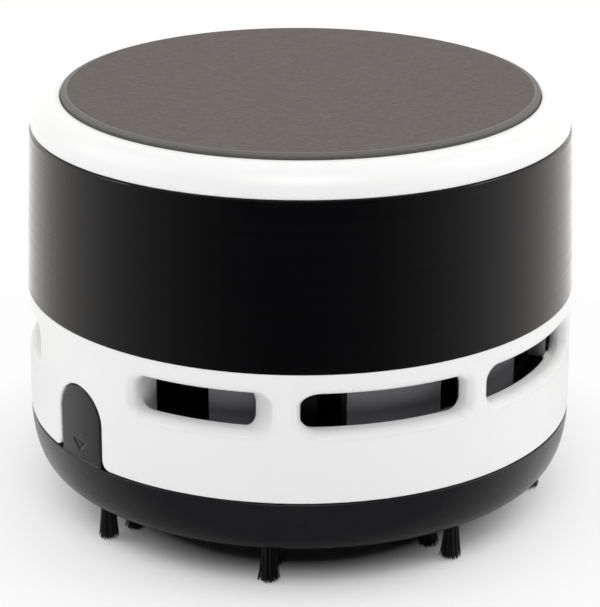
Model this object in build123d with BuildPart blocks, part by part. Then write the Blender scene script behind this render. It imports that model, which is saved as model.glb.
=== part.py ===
"""Mini desk vacuum cleaner: a round body on a brush-ringed base tray, driven by two cells and a small motor.

Lengths are in millimetres and angles in degrees. The floor under the brush tips is z = 0, Z is the axis of
the round body, the push tabs lie on X and the switch on +Y. A bearing is an angle about Z, counted from -Y
towards +X.
"""
import math
import os

from build123d import *

os.makedirs("parts", exist_ok=True)

# Gaps and fits shared by many pieces
OVERRUN = 5.0           # how far a cut runs past the piece
RUN_GAP = 0.3           # between pieces that move past each other
SLIP_GAP = 0.2          # round a piece that drops into its seat
SNUG_GAP = 0.05         # between a sleeve or a pin and what it fits
PRESS_GAP = 0.01        # between a pressed pin and its hole
MERGE = 0.1             # overlap that makes two forms one piece

# Cells, motor and contacts: they set the radius of the body
CELL_D = 14.2
CELL_L = 49.2
CELL_NUB_D = 5.2
CELL_NUB_L = 1.3
MOTOR_D = 20.1          # across the round sides, along Y
MOTOR_FLAT = 15.1       # across the flats, along X
MOTOR_CAN_L = 20.5
MOTOR_CAP_L = 4.6
MOTOR_CAP_INSET = 0.6
MOTOR_EDGE = 1.0        # rounded edge of the can's closed end
BOSS_R = 3.05
BOSS_L = 1.5
TERMINAL_W = 2.6
TERMINAL_T = 0.5
TERMINAL_H = 2.0
TERMINAL_X = 4.0
SHAFT_R = 1.0
SHAFT_IN_MOTOR = 3.0    # length of shaft held in the motor
WEB_T = 1.2             # wall between the motor and each cell
CONTACT_T = 0.4
CONTACT_H = 10.0
CONTACT_BUMP_R = 2.2
CONTACT_BUMP_H = 0.45
CONTACT_LEAF_W = 11.0
END_WALL_T = 1.6
END_WALL_H = 13.8
BAY_ROOM = 1.53         # from the corner of the cell bay to the neck

# Walls of the body, from the neck outwards
NECK_T = 1.9
BAND_FOOT_T = 2.75      # thickness of the band at its lower edge
BAND_TAPER = 1.1        # how far the band leans in towards its top
BAND_EDGE = 0.4         # bevel on the band's top edge
SHELL_T = 2.8
SHELL_FLARE = 0.14      # how far the shell widens towards its foot

# Heights, from the floor upwards
BRUSH_L = 6.5
BASE_H = 8.43
SEAM_GAP = 0.2
SPIGOT_H = 3.07
FILTER_GAP = 1.8
FILTER_H = 2.6
DRUM_H = 10.6
LEDGE_T = 1.6
LEDGE_DROP = 0.4
MOTOR_ROOM = 1.9        # from the motor's top to the top of the band
LID_GAP = 0.3
LID_H = 4.3

# Base tray
BASE_ROUND_W = 3.4      # how far the bowl curves in
BASE_FLOOR_T = 2.0
SPIGOT_T = 2.0
NOZZLE_L = 34.0
NOZZLE_W = 9.0
NOZZLE_WALL = 1.6
NOZZLE_LIP = 1.5        # how far the mouth stands below the base
CHIMNEY_DROP = 1.2      # how far the chimney stays below the spigot's edge

# Brush tufts
TUFT_COUNT = 8
TUFT_TURN = -1.7
TUFT_D = 3.2
TUFT_DEPTH = 2.4
TUFT_COVER = 1.0        # floor left above a tuft's socket
TUFT_EDGE = 2.24        # from the outer tufts to where the bowl starts to curve
TUFT_ROW_GAP = 3.1      # between the outer and the inner tufts
RIDGE_MARGIN = 1.2
STRAND_W = 0.34
STRAND_PITCH = 0.62
STRAND_RINGS = 2
STRAND_ROOT = 0.4       # how far a strand reaches into its backing
SPLAY_SHARE = 0.3       # how much wider a tuft is at its tips

# Push tabs
TAB_W = 10.0
TAB_H = 11.75
TAB_T = 2.0
TAB_GAP = 0.3
NOTCH_ROUND = 1.6
NOTCH_EDGE = 0.25       # rounded outer edge of a notch
BEAD_R = 0.7
BEAD_L = 7.0
BEAD_INSET = 1.24
BEAD_DROP = 0.25
CATCH_W = 4.0
CATCH_H = 1.4
CATCH_D = 0.6
CATCH_BELOW_TOP = 4.2
MARK_W = 3.0            # outlined arrow on the tab
MARK_H = 1.8
MARK_LINE = 0.4
MARK_DEPTH = 0.2
MARK_RISE = 1.5

# Air slots of the vent shell
VENT_H = 5.76
VENT_DROP = 3.34        # from the band down to the slots' top edge
VENT_ROUND = 2.0
VENT_TURN = -1.6        # turn of the whole pattern
VENT_PITCH = 38.2
VENT_SPAN = 33.4
VENT_EDGE = 1.5         # rounded outer edge of a slot
SIDE_VENT_FROM = 43.0   # bearings of a side slot's two ends, counted from the middle of the pattern
SIDE_VENT_TO = 73.1
GUIDE_T = 1.4           # wall behind the far end of each side slot, beside the tab
GUIDE_GAP = 0.4

# Fan housing
DRUM_ROOM = 3.7         # from the drum to the shell's inner wall
DRUM_T = 1.4
DRUM_RING_H = 1.6
DECK_T = 1.0
DECK_RIM = 3.4
PANEL_COUNT = 4
PANEL_PITCH = 31.0
PANEL_SPAN = 25.4
PANEL_TURN = -1.95
POST_R = 1.25
POST_REACH = 2.2        # from the drum to the middle of a post
POST_BEARINGS = (33, 137, 213, 317)
SCREW_R = 0.6
SCREW_L = 9.0
SCREW_HEAD_R = 1.3
SCREW_HEAD_H = 1.1
SCREW_SLOT_W = 0.5
SCREW_SLOT_DEPTH = 0.5

# Impeller
IMPELLER_ROOM = 3.6     # from the blade tips to the drum
IMPELLER_DISC_T = 1.2
IMPELLER_TOP_GAP = 1.0
IMPELLER_FOOT_GAP = 2.0
HUB_R = 4.0
BLADE_COUNT = 9
BLADE_T = 1.2
BLADE_SWEEP = 38.0

# Filter
FRAME_INSET = 0.2
FRAME_W = 4.8
FRAME_LIP = 2.0
FRAME_RIB_W = 1.4
FRAME_RIB_COUNT = 3
PAD_LAYER_T = 1.0

# Chassis
CHASSIS_T = 1.6
COLLAR_H = 10.0
SADDLE_Y = 14.0
SADDLE_T = 1.6
SADDLE_H = 5.8
CELL_LIFT = 0.3

# Lid
LID_INSET = 0.24
LID_SHOULDER_W = 4.16
LID_SHOULDER_H = 3.7
LID_PLATE_T = 1.6
LID_SPIGOT_T = 1.6
LID_SPIGOT_H = 3.0
PAD_SEAT = 1.2
PAD_RIM = 0.35          # flat of the ring round the pad
PAD_CLEAR = 0.15
PAD_PROUD = 0.8
PAD_BEVEL_W = 1.2
PAD_BEVEL_H = 0.2

# Slide switch
SWITCH_RISE = 12.0      # height of its centre above the band's lower edge
SWITCH_W = 13.0
SWITCH_D = 5.0
SWITCH_H = 6.5
SWITCH_TRAVEL = 4.0
STEM_W = 3.0
STEM_H = 2.6
POCKET_W = 15.0
POCKET_H = 7.5
POCKET_DEPTH = 1.2
KNOB_W = 6.0
KNOB_H = 5.0
KNOB_ROUND = 1.2
KNOB_PROUD = 0.35
KNOB_GROOVE_W = 0.6
KNOB_GROOVE_DEPTH = 0.35
KNOB_GROOVE_COUNT = 3

# Places worked out from the sizes above
cell_r = CELL_D / 2
cell_x = MOTOR_FLAT / 2 + 2 * SLIP_GAP + WEB_T + cell_r
contact_room = CONTACT_T + CONTACT_BUMP_H + SNUG_GAP
end_wall_y = (CELL_L + CELL_NUB_L) / 2 + contact_room
bay_half_w = cell_x + cell_r
neck_in_r = math.hypot(bay_half_w, end_wall_y + END_WALL_T) + BAY_ROOM
neck_r = neck_in_r + NECK_T
band_in_r = neck_r + SNUG_GAP
body_r = band_in_r + BAND_FOOT_T
band_top_r = body_r - BAND_TAPER
shell_foot_r = body_r + SHELL_FLARE
shell_in_r = body_r - SHELL_T

z_base = BRUSH_L
z_seam = z_base + BASE_H
z_shell = z_seam + SEAM_GAP
z_spigot = z_seam + SPIGOT_H
z_frame = z_spigot + FILTER_GAP
z_drum = z_frame + FILTER_H
z_deck_top = z_drum + DRUM_H
z_deck = z_deck_top - DECK_T
z_ledge_top = z_deck_top + LEDGE_T
z_band = z_ledge_top + LEDGE_DROP
z_cap = z_deck_top + MOTOR_CAN_L
z_motor_top = z_cap + MOTOR_CAP_L
z_band_top = z_motor_top + MOTOR_ROOM
z_lid = z_band_top + LID_GAP
z_lid_top = z_lid + LID_H
z_tray = z_ledge_top + CHASSIS_T
z_cell = z_tray + CELL_LIFT + cell_r
z_switch = z_band + SWITCH_RISE
z_vent = z_band - VENT_DROP - VENT_H / 2

spigot_r = shell_in_r - RUN_GAP
tray_in_r = spigot_r - SPIGOT_T
drum_r = shell_in_r - DRUM_ROOM
impeller_r = drum_r - DRUM_T - IMPELLER_ROOM
post_ring_r = drum_r + POST_REACH
z_post = z_vent - VENT_H / 2
z_post_seat = z_frame + SCREW_HEAD_H
outer_tuft_r = shell_foot_r - BASE_ROUND_W - TUFT_EDGE
inner_tuft_r = outer_tuft_r - TUFT_D - TUFT_ROW_GAP
bead_x = shell_foot_r - BEAD_INSET
z_bead = z_seam - BEAD_DROP
ridge_r = inner_tuft_r - TUFT_D / 2 - RIDGE_MARGIN
z_ridge = z_base + TUFT_DEPTH + TUFT_COVER
motor_half_w = MOTOR_FLAT / 2
ledge_r = neck_in_r - LEDGE_T
pad_recess_r = band_top_r - LID_INSET - LID_SHOULDER_W - PAD_RIM


def save(piece, name):
    """Label a finished piece and write its file."""
    piece.part.label = name
    export_step(piece.part, f"parts/{name}.step")


def ring(outer_r, inner_r, height):
    """A flat ring, or a disc where the inner radius is 0, as a sketch at the given height."""
    with BuildSketch(Plane.XY.offset(height)) as flat:
        Circle(outer_r)
        if inner_r > 0:
            Circle(inner_r, mode=Mode.SUBTRACT)
    return flat.sketch


def plate_at(width, depth, x, y, height):
    """A rectangle centred on x and y, as a sketch at the given height."""
    with BuildSketch(Plane.XY.offset(height)) as flat:
        with Locations((x, y)):
            Rectangle(width, depth)
    return flat.sketch


def motor_outline(margin, height):
    """The motor's section, round with two flats, grown by a margin."""
    with BuildSketch(Plane.XY.offset(height)) as flat:
        Circle(MOTOR_D / 2 + margin)
        Rectangle(MOTOR_FLAT + 2 * margin, MOTOR_D + 2 * margin, mode=Mode.INTERSECT)
    return flat.sketch


def wedge(from_bearing, to_bearing, reach, height):
    """A slice of the plan between two bearings, out to more than the reach."""
    middle = (from_bearing + to_bearing) / 2
    far = reach / math.cos(math.radians((to_bearing - from_bearing) / 2)) ** 2
    corners = [(0, 0)]
    for bearing in (from_bearing, middle, to_bearing):
        corners.append((far * math.sin(math.radians(bearing)), -far * math.cos(math.radians(bearing))))
    with BuildSketch(Plane.XY.offset(height)) as flat:
        with BuildLine():
            Polyline(*corners, close=True)
        make_face()
    return flat.sketch


def outward_plane(bearing, reach, height):
    """A plane that looks outwards along a bearing, at a distance from the axis."""
    across = Vector(math.cos(math.radians(bearing)), math.sin(math.radians(bearing)), 0)
    outward = Vector(math.sin(math.radians(bearing)), -math.cos(math.radians(bearing)), 0)
    return Plane(origin=outward * reach + Vector(0, 0, height), x_dir=across, z_dir=outward)


def post_plan(bearing, merge_r, height, radius=POST_R):
    """A screw post's plan: a disc on the posts' ring, with a web to the wall that it merges with."""
    web = abs(merge_r - post_ring_r)
    turn = outward_plane(bearing, 0, height)
    with BuildSketch(Plane(origin=turn.origin, x_dir=turn.z_dir, z_dir=(0, 0, 1))) as flat:
        with Locations((post_ring_r, 0)):
            Circle(radius)
        if web > 0:
            with Locations(((post_ring_r + merge_r) / 2, 0)):
                Rectangle(web, 2 * radius)
    return flat.sketch


# Base tray: a bowl with a spigot into the shell, a suction mouth and a chimney
with BuildPart() as base_tray:
    with BuildSketch(Plane.XZ):
        with BuildLine():
            bowl = EllipticalCenterArc(
                (shell_foot_r - BASE_ROUND_W, z_seam), BASE_ROUND_W, BASE_H, start_angle=270
            )
            Polyline(
                bowl @ 1,
                (spigot_r, z_seam),
                (spigot_r, z_spigot),
                (tray_in_r, z_spigot),
                (tray_in_r, z_ridge),
                (ridge_r, z_ridge),
                (ridge_r, z_base + BASE_FLOOR_T),
                (0, z_base + BASE_FLOOR_T),
                (0, z_base),
                bowl @ 0,
            )
        make_face()
    revolve(axis=Axis.Z)
    with BuildSketch(Plane.XY.offset(z_base - NOZZLE_LIP)):
        SlotOverall(NOZZLE_L + 2 * NOZZLE_WALL, NOZZLE_W + 2 * NOZZLE_WALL)
    extrude(amount=z_spigot - CHIMNEY_DROP - z_base + NOZZLE_LIP)
    with BuildSketch(Plane.XY):
        SlotOverall(NOZZLE_L, NOZZLE_W)
    extrude(amount=z_spigot, mode=Mode.SUBTRACT)
    with BuildSketch(Plane.XY.offset(z_base)):
        for ring_r in (outer_tuft_r, inner_tuft_r):
            with PolarLocations(ring_r, TUFT_COUNT, start_angle=TUFT_TURN):
                Circle(TUFT_D / 2 + PRESS_GAP)
    extrude(amount=TUFT_DEPTH, mode=Mode.SUBTRACT)
    with BuildSketch(Plane.XZ):
        for side in (-1, 1):
            with Locations((side * bead_x, z_bead)):
                Circle(BEAD_R + SNUG_GAP)
            with Locations((side * bead_x, z_bead + BEAD_R)):
                Rectangle(2 * (BEAD_R + SNUG_GAP), 2 * BEAD_R)
    extrude(amount=BEAD_L / 2 + SLIP_GAP, both=True, mode=Mode.SUBTRACT)
save(base_tray, "base_tray")

# Push tabs: a curved tongue on a round bead that rocks in the tray's rim
with BuildPart() as tongue:
    with BuildSketch(Plane.YZ):
        with Locations((0, z_seam + (SEAM_GAP + TAB_H - TAB_W / 2) / 2)):
            Rectangle(TAB_W, TAB_H - TAB_W / 2 - SEAM_GAP)
        with Locations((0, z_seam + TAB_H - TAB_W / 2)):
            Circle(TAB_W / 2)
    extrude(amount=shell_foot_r + OVERRUN)
    skin = ring(shell_foot_r, shell_foot_r - TAB_T, z_base)
    extrude(skin, amount=BASE_H + TAB_H + OVERRUN, mode=Mode.INTERSECT)
    z_mark = z_seam + MARK_RISE
    with BuildSketch(Plane.YZ.offset(shell_foot_r - MARK_DEPTH)):
        with BuildLine():
            Polyline((-MARK_W / 2, z_mark + MARK_H), (MARK_W / 2, z_mark + MARK_H), (0, z_mark), close=True)
        arrow = make_face()
        offset(arrow, amount=-MARK_LINE, kind=Kind.INTERSECTION, mode=Mode.SUBTRACT)
    extrude(amount=OVERRUN, mode=Mode.SUBTRACT)
    z_catch = z_seam + TAB_H - CATCH_BELOW_TOP
    with BuildSketch(Plane.XZ):
        with BuildLine():
            Polyline(
                (shell_foot_r - TAB_T - CATCH_D, z_catch),
                (shell_foot_r - TAB_T / 2, z_catch),
                (shell_foot_r - TAB_T / 2, z_catch + CATCH_H),
                (shell_foot_r - TAB_T, z_catch + CATCH_H),
                close=True,
            )
        make_face()
    extrude(amount=CATCH_W / 2, both=True)
    with BuildSketch(Plane.XZ):
        with Locations((bead_x, z_bead)):
            Circle(BEAD_R)
    extrude(amount=BEAD_L / 2, both=True)

for tab_name, tab_turn in (("push_tab_right", 0), ("push_tab_left", 180)):
    with BuildPart() as push_tab:
        add(tongue.part, rotation=(0, 0, tab_turn))
    save(push_tab, tab_name)


def strand(x, y):
    """One square bristle, from inside its backing to the floor, leaning out with its place in the tuft."""
    splay = 1 + SPLAY_SHARE
    with BuildPart() as bristle:
        with BuildSketch(Plane.XY.offset(z_base + STRAND_ROOT)):
            with Locations((x, y)):
                Rectangle(STRAND_W, STRAND_W)
        with BuildSketch(Plane.XY):
            with Locations((x * splay, y * splay)):
                Rectangle(STRAND_W, STRAND_W)
        loft()
    return bristle.part


# Brush tufts: bristles on a hexagon grid, fused to a round backing
strand_places = []
for row in range(-STRAND_RINGS, STRAND_RINGS + 1):
    for step in range(-STRAND_RINGS, STRAND_RINGS + 1):
        if abs(row + step) <= STRAND_RINGS:
            strand_places.append((STRAND_PITCH * (step + row / 2), STRAND_PITCH * row * math.sqrt(3) / 2))
strands = [strand(x, y) for x, y in strand_places]

with BuildPart() as tuft:
    extrude(ring(TUFT_D / 2, 0, z_base), amount=TUFT_DEPTH)
    add(strands)

for brush_name, brush_r in (("brush_outer", outer_tuft_r), ("brush_inner", inner_tuft_r)):
    with BuildPart() as brush:
        with PolarLocations(brush_r, TUFT_COUNT, start_angle=TUFT_TURN):
            add(tuft.part)
    save(brush, brush_name)

# Vent shell: the white drum with its neck, air slots, post seats and tab notches
side_middle = (SIDE_VENT_FROM + SIDE_VENT_TO) / 2
side_near = shell_in_r * math.cos(math.radians(SIDE_VENT_TO - side_middle)) - RUN_GAP
side_far = shell_foot_r + RUN_GAP
with BuildPart() as vent_shell:
    with BuildSketch(Plane.XZ):
        with BuildLine():
            Polyline(
                (shell_foot_r, z_shell),
                (body_r, z_band),
                (neck_r, z_band),
                (neck_r, z_lid),
                (neck_in_r, z_lid),
                (neck_in_r, z_ledge_top),
                (ledge_r, z_ledge_top),
                (ledge_r, z_deck_top),
                (shell_in_r, z_deck_top),
                (shell_in_r, z_shell),
                close=True,
            )
        make_face()
    revolve(axis=Axis.Z)
    for half_turn in (0, 180):
        with BuildSketch(Plane.XZ.rotated((0, 0, half_turn))):
            for place in (-1, 1):
                middle = place * VENT_PITCH / 2 + VENT_TURN
                left = body_r * math.sin(math.radians(middle - VENT_SPAN / 2))
                right = body_r * math.sin(math.radians(middle + VENT_SPAN / 2))
                with Locations(((left + right) / 2, z_vent)):
                    RectangleRounded(right - left, VENT_H, VENT_ROUND)
        extrude(amount=body_r + OVERRUN, mode=Mode.SUBTRACT)
        for place in (-1, 1):
            bearing = place * side_middle + VENT_TURN
            lean = math.radians(bearing)
            near_end_x = body_r * math.sin(math.radians(place * SIDE_VENT_FROM + VENT_TURN))
            for reach in (side_near, side_far):
                near_end = (near_end_x - reach * math.sin(lean)) / math.cos(lean)
                far_end = place * reach * math.tan(math.radians(SIDE_VENT_TO - side_middle))
                with BuildSketch(outward_plane(bearing + half_turn, reach, z_vent)):
                    with Locations(((near_end + far_end) / 2, 0)):
                        RectangleRounded(abs(far_end - near_end), VENT_H, VENT_ROUND)
            loft(mode=Mode.SUBTRACT)
    slot_edges = []
    for edge in vent_shell.edges():
        middle = edge.position_at(1 / 2)
        on_outside = math.hypot(middle.X, middle.Y) > body_r - SNUG_GAP
        if on_outside and abs(middle.Z - z_vent) < VENT_H / 2 + SNUG_GAP:
            slot_edges.append(edge)
    fillet(slot_edges, radius=VENT_EDGE)
    for half_turn in (0, 180):
        for place in (-1, 1):
            guide = outward_plane(place * SIDE_VENT_TO + VENT_TURN + half_turn, 0, z_drum)
            guide_from = drum_r + GUIDE_GAP
            guide_to = shell_in_r + MERGE
            with BuildSketch(Plane(origin=guide.origin, x_dir=guide.z_dir, z_dir=(0, 0, 1))):
                with Locations(((guide_from + guide_to) / 2, place * GUIDE_T / 2)):
                    Rectangle(guide_to - guide_from, GUIDE_T)
            extrude(amount=z_deck - RUN_GAP - z_drum)
    for bearing in POST_BEARINGS:
        extrude(post_plan(bearing, shell_in_r + MERGE, z_post_seat), amount=z_post - z_post_seat)
        screw_way = post_plan(bearing, post_ring_r, z_post_seat, SCREW_R + SLIP_GAP)
        extrude(screw_way, amount=z_post - z_post_seat, mode=Mode.SUBTRACT)
    notch_r = TAB_W / 2 + TAB_GAP
    z_notch = z_seam + TAB_H - TAB_W / 2
    with BuildSketch(Plane.YZ):
        with Locations((0, z_shell + NOTCH_ROUND / 2)):
            Rectangle(2 * (notch_r + NOTCH_ROUND), NOTCH_ROUND)
        for side in (-1, 1):
            with Locations((side * (notch_r + NOTCH_ROUND), z_shell + NOTCH_ROUND)):
                Circle(NOTCH_ROUND, mode=Mode.SUBTRACT)
        with Locations((0, (z_base + z_notch) / 2)):
            Rectangle(2 * notch_r, z_notch - z_base)
        with Locations((0, z_notch)):
            Circle(notch_r)
    extrude(amount=body_r + OVERRUN, both=True, mode=Mode.SUBTRACT)
    notch_edges = []
    for edge in vent_shell.edges():
        middle = edge.position_at(1 / 2)
        on_outside = math.hypot(middle.X, middle.Y) > body_r - SNUG_GAP
        in_notch = abs(middle.Y) < notch_r + SNUG_GAP and z_shell + NOTCH_ROUND < middle.Z < z_band - SNUG_GAP
        if on_outside and in_notch:
            notch_edges.append(edge)
    fillet(notch_edges, radius=NOTCH_EDGE)
    with BuildSketch(Plane.XZ):
        with Locations((0, z_switch)):
            Rectangle(STEM_W + SWITCH_TRAVEL + 2 * RUN_GAP, STEM_H + 2 * RUN_GAP)
    extrude(amount=-body_r - OVERRUN, mode=Mode.SUBTRACT)
save(vent_shell, "vent_shell")

# Band sleeve: tapered outside, straight inside, with the switch pocket at the rear
switch_band_r = body_r - BAND_TAPER * SWITCH_RISE / (z_band_top - z_band)
pocket_y = switch_band_r - POCKET_DEPTH
with BuildPart() as band_sleeve:
    with BuildSketch(Plane.XZ):
        with BuildLine():
            Polyline(
                (band_in_r, z_band),
                (body_r, z_band),
                (band_top_r, z_band_top - BAND_EDGE),
                (band_top_r - BAND_EDGE, z_band_top),
                (band_in_r, z_band_top),
                close=True,
            )
        make_face()
    revolve(axis=Axis.Z)
    with BuildSketch(Plane.XZ.offset(-pocket_y)):
        with Locations((0, z_switch)):
            SlotOverall(POCKET_W, POCKET_H)
    extrude(amount=-OVERRUN, mode=Mode.SUBTRACT)
    with BuildSketch(Plane.XZ):
        with Locations((0, z_switch)):
            Rectangle(STEM_W + SWITCH_TRAVEL + 2 * RUN_GAP, STEM_H + 2 * RUN_GAP)
    extrude(amount=-body_r - OVERRUN, mode=Mode.SUBTRACT)
save(band_sleeve, "band_sleeve")

# Lid ring: a round shoulder, a recess for the pad and a spigot into the neck
lid_r = band_top_r - LID_INSET
shoulder_r = lid_r - LID_SHOULDER_W
z_seat = z_lid_top - PAD_SEAT
z_plate = z_seat - LID_PLATE_T
lid_spigot_r = neck_in_r - RUN_GAP
with BuildPart() as lid_ring:
    with BuildSketch(Plane.XZ):
        with BuildLine():
            shoulder = EllipticalCenterArc(
                (shoulder_r, z_lid_top - LID_SHOULDER_H),
                LID_SHOULDER_W,
                LID_SHOULDER_H,
            )
            Polyline(
                shoulder @ 1,
                (pad_recess_r, z_lid_top),
                (pad_recess_r, z_seat),
                (0, z_seat),
                (0, z_plate),
                (lid_spigot_r - LID_SPIGOT_T, z_plate),
                (lid_spigot_r - LID_SPIGOT_T, z_lid - LID_SPIGOT_H),
                (lid_spigot_r, z_lid - LID_SPIGOT_H),
                (lid_spigot_r, z_lid),
                (lid_r, z_lid),
                shoulder @ 0,
            )
        make_face()
    revolve(axis=Axis.Z)
save(lid_ring, "lid_ring")

# Lid pad: a disc with a bevelled edge, let into the ring
pad_r = pad_recess_r - PAD_CLEAR
with BuildPart() as lid_pad:
    with BuildSketch(Plane.XZ):
        with BuildLine():
            Polyline(
                (0, z_seat),
                (pad_r, z_seat),
                (pad_r, z_lid_top + PAD_PROUD - PAD_BEVEL_H),
                (pad_r - PAD_BEVEL_W, z_lid_top + PAD_PROUD),
                (0, z_lid_top + PAD_PROUD),
                close=True,
            )
        make_face()
    revolve(axis=Axis.Z)
save(lid_pad, "lid_pad")

# Fan housing: a deck for the motor, a drum of panels and windows, and screw posts
panel_bearings = []
for panel in range(PANEL_COUNT):
    panel_bearings.append(PANEL_TURN + PANEL_PITCH * (panel - (PANEL_COUNT - 1) / 2))
with BuildPart() as fan_housing:
    extrude(ring(drum_r, drum_r - DRUM_T, z_drum), amount=DRUM_H)
    window_h = DRUM_H - DECK_T - 2 * DRUM_RING_H
    for half_turn in (0, 180):
        for panel in range(PANEL_COUNT):
            window_from = panel_bearings[panel] + PANEL_SPAN / 2 + half_turn
            window_to = panel_bearings[panel] + PANEL_PITCH - PANEL_SPAN / 2 + half_turn
            if panel == PANEL_COUNT - 1:
                window_to = panel_bearings[0] - PANEL_SPAN / 2 + 180 + half_turn
            window = wedge(window_from, window_to, drum_r, z_drum + DRUM_RING_H)
            extrude(window, amount=window_h, mode=Mode.SUBTRACT)
    extrude(ring(drum_r + DECK_RIM, BOSS_R + SLIP_GAP, z_deck), amount=DECK_T)
    for bearing in POST_BEARINGS:
        extrude(post_plan(bearing, drum_r - MERGE, z_post), amount=z_deck_top - z_post)
        screw_hole = post_plan(bearing, post_ring_r, z_post_seat, SCREW_R + PRESS_GAP)
        extrude(screw_hole, amount=SCREW_L, mode=Mode.SUBTRACT)
save(fan_housing, "fan_housing")

# Housing screws: each driven up through a seat of the shell into a post
with BuildPart() as housing_screws:
    for bearing in POST_BEARINGS:
        extrude(post_plan(bearing, post_ring_r, z_frame, SCREW_HEAD_R), amount=SCREW_HEAD_H)
        extrude(post_plan(bearing, post_ring_r, z_post_seat, SCREW_R), amount=SCREW_L)
        post_x = post_ring_r * math.sin(math.radians(bearing))
        post_y = -post_ring_r * math.cos(math.radians(bearing))
        extrude(
            plate_at(2 * SCREW_HEAD_R, SCREW_SLOT_W, post_x, post_y, z_frame),
            amount=SCREW_SLOT_DEPTH,
            mode=Mode.SUBTRACT,
        )
save(housing_screws, "housing_screws")

# Impeller: a disc with swept blades under it, on a hub
z_disc_top = z_deck - IMPELLER_TOP_GAP
z_disc = z_disc_top - IMPELLER_DISC_T
z_blade = z_drum + IMPELLER_FOOT_GAP
with BuildSketch() as blade:
    with BuildLine():
        sweep_x = impeller_r * math.cos(math.radians(BLADE_SWEEP))
        sweep_y = impeller_r * math.sin(math.radians(BLADE_SWEEP))
        TangentArc((HUB_R - BLADE_T, 0), (sweep_x, sweep_y), tangent=(1, 0))
    trace(line_width=BLADE_T)
with BuildPart() as impeller:
    extrude(ring(impeller_r, 0, z_disc), amount=IMPELLER_DISC_T)
    extrude(ring(HUB_R, 0, z_blade), amount=z_disc - z_blade)
    with BuildSketch(Plane.XY.offset(z_blade)):
        with PolarLocations(0, BLADE_COUNT):
            add(blade.sketch)
        Circle(impeller_r, mode=Mode.INTERSECT)
    extrude(amount=z_disc - z_blade)
    extrude(ring(SHAFT_R + PRESS_GAP, 0, z_blade), amount=z_disc_top - z_blade, mode=Mode.SUBTRACT)
save(impeller, "impeller")

# Motor: shaft, can with a bearing boss, end cap and terminals
z_shaft_top = z_deck_top + SHAFT_IN_MOTOR
with BuildPart() as motor_shaft:
    extrude(ring(SHAFT_R, 0, z_blade), amount=z_shaft_top - z_blade)
save(motor_shaft, "motor_shaft")

with BuildPart() as motor_can:
    extrude(motor_outline(0, z_deck_top), amount=MOTOR_CAN_L)
    fillet(motor_can.edges().group_by(Axis.Z)[0], radius=MOTOR_EDGE)
    extrude(ring(BOSS_R, 0, z_deck_top - BOSS_L), amount=BOSS_L + MOTOR_EDGE)
    extrude(
        ring(SHAFT_R + SNUG_GAP, 0, z_deck_top - BOSS_L),
        amount=BOSS_L + SHAFT_IN_MOTOR + RUN_GAP,
        mode=Mode.SUBTRACT,
    )
save(motor_can, "motor_can")

with BuildPart() as motor_cap:
    extrude(motor_outline(-MOTOR_CAP_INSET, z_cap), amount=MOTOR_CAP_L)
save(motor_cap, "motor_cap")

with BuildPart() as motor_terminals:
    for side in (-1, 1):
        extrude(plate_at(TERMINAL_T, TERMINAL_W, side * TERMINAL_X, 0, z_motor_top), amount=TERMINAL_H)
save(motor_terminals, "motor_terminals")

# Filter: a frame with ribs, and a felt pad let into its top
frame_r = drum_r - FRAME_INSET
frame_in_r = frame_r - FRAME_W
pad_layer_r = frame_in_r + FRAME_LIP
with BuildPart() as filter_frame:
    extrude(ring(frame_r, frame_in_r, z_frame), amount=FILTER_H)
    with BuildSketch(Plane.XY.offset(z_frame)):
        with PolarLocations(0, FRAME_RIB_COUNT, angular_range=180, endpoint=False):
            Rectangle(2 * frame_in_r + FRAME_LIP, FRAME_RIB_W)
    extrude(amount=FILTER_H - PAD_LAYER_T)
    extrude(ring(pad_layer_r, 0, z_drum - PAD_LAYER_T), amount=PAD_LAYER_T, mode=Mode.SUBTRACT)
save(filter_frame, "filter_frame")

with BuildPart() as filter_pad:
    extrude(ring(pad_layer_r - SLIP_GAP, 0, z_drum - PAD_LAYER_T), amount=PAD_LAYER_T)
save(filter_pad, "filter_pad")

# Chassis: a deck in the neck with the motor's collar, cell saddles, end walls and the switch's foot
z_switch_foot = z_switch - SWITCH_H / 2
switch_face_y = math.sqrt(neck_in_r ** 2 - (SWITCH_W / 2) ** 2) - RUN_GAP
switch_y = switch_face_y - SWITCH_D / 2
collar_margin = SLIP_GAP + WEB_T
saddle_from = motor_half_w + collar_margin
with BuildPart() as chassis:
    extrude(ring(neck_in_r - SLIP_GAP, 0, z_ledge_top), amount=CHASSIS_T)
    extrude(plate_at(2 * saddle_from, MOTOR_D + 2 * collar_margin, 0, 0, z_tray), amount=COLLAR_H)
    for end in (-1, 1):
        for side in (-1, 1):
            saddle_x = side * (bay_half_w + saddle_from) / 2
            saddle = plate_at(bay_half_w - saddle_from, SADDLE_T, saddle_x, end * SADDLE_Y, z_tray)
            extrude(saddle, amount=SADDLE_H)
        wall_y = end * (end_wall_y + END_WALL_T / 2)
        extrude(plate_at(2 * bay_half_w, END_WALL_T, 0, wall_y, z_tray), amount=END_WALL_H)
    with BuildSketch(Plane.XZ):
        for side in (-1, 1):
            with Locations((side * cell_x, z_cell)):
                Circle(cell_r + SNUG_GAP)
    extrude(amount=end_wall_y, both=True, mode=Mode.SUBTRACT)
    extrude(plate_at(SWITCH_W, SWITCH_D, 0, switch_y, z_tray), amount=z_switch_foot - z_tray)
    extrude(motor_outline(SLIP_GAP, z_ledge_top), amount=CHASSIS_T + COLLAR_H, mode=Mode.SUBTRACT)
save(chassis, "chassis")

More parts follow.
